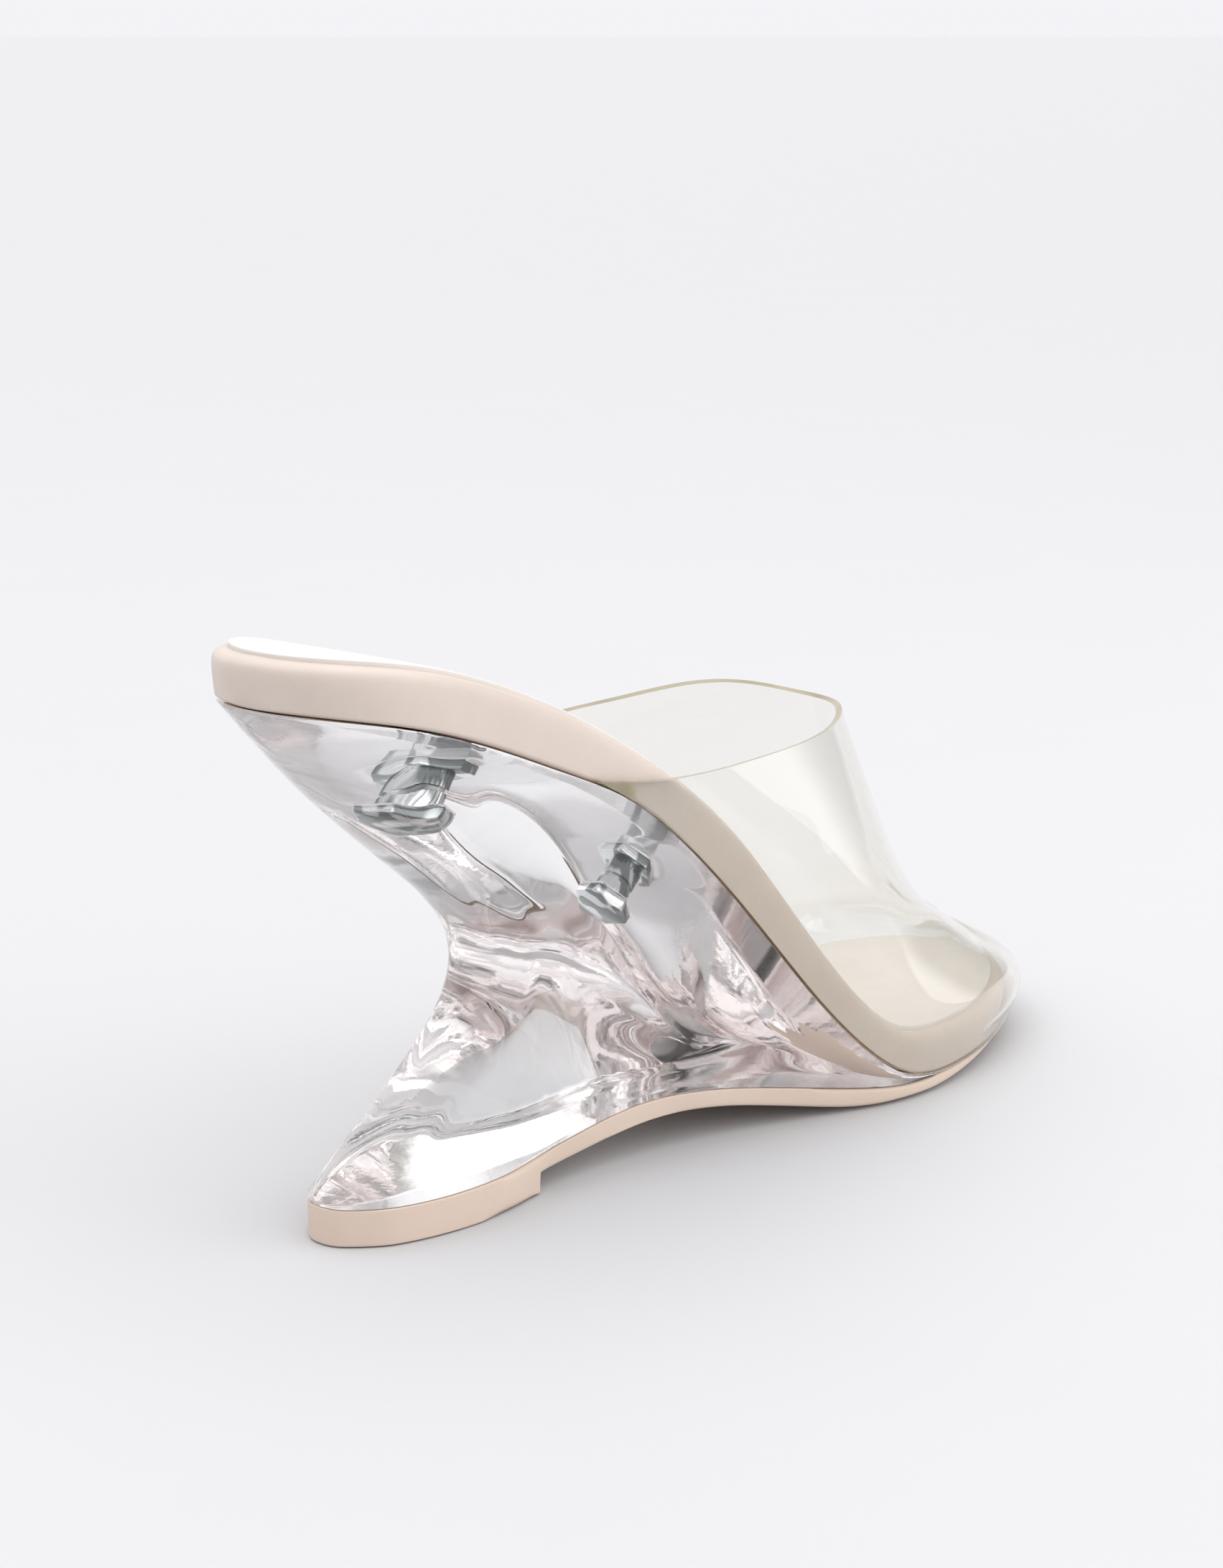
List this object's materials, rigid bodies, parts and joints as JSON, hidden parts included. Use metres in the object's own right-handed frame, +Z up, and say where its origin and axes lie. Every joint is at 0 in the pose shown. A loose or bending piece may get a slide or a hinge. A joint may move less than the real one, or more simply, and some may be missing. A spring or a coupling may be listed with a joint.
{
  "type": "wedge shoe",
  "caption": "Closed-toe mule for a right foot, with a clear vamp, a leather footbed and a clear wedge whose back is hollowed in a deep curve.",
  "frame": {"origin": "centre of the footprint box at floor level", "axes": "+X towards the toe, +Y towards the medial side (the wearer's left), +Z up from the floor"},
  "size_m": [0.2268, 0.074, 0.1092],
  "materials": {
    "outsole": "matt nude moulded sole",
    "clear_wedge": "polished clear acrylic",
    "footbed_leather": "smooth beige leather",
    "insole_leather": "smooth pale leather",
    "clear_vinyl": "glossy clear vinyl sheet",
    "insert_steel": "bright plated steel"
  },
  "bodies": {
    "root": {"outsole": "outsole", "wedge": "clear_wedge", "footbed": "footbed_leather", "insole": "insole_leather", "upper": "clear_vinyl", "insert_rear": "insert_steel", "insert_front": "insert_steel"}
  },
  "joints": []
}
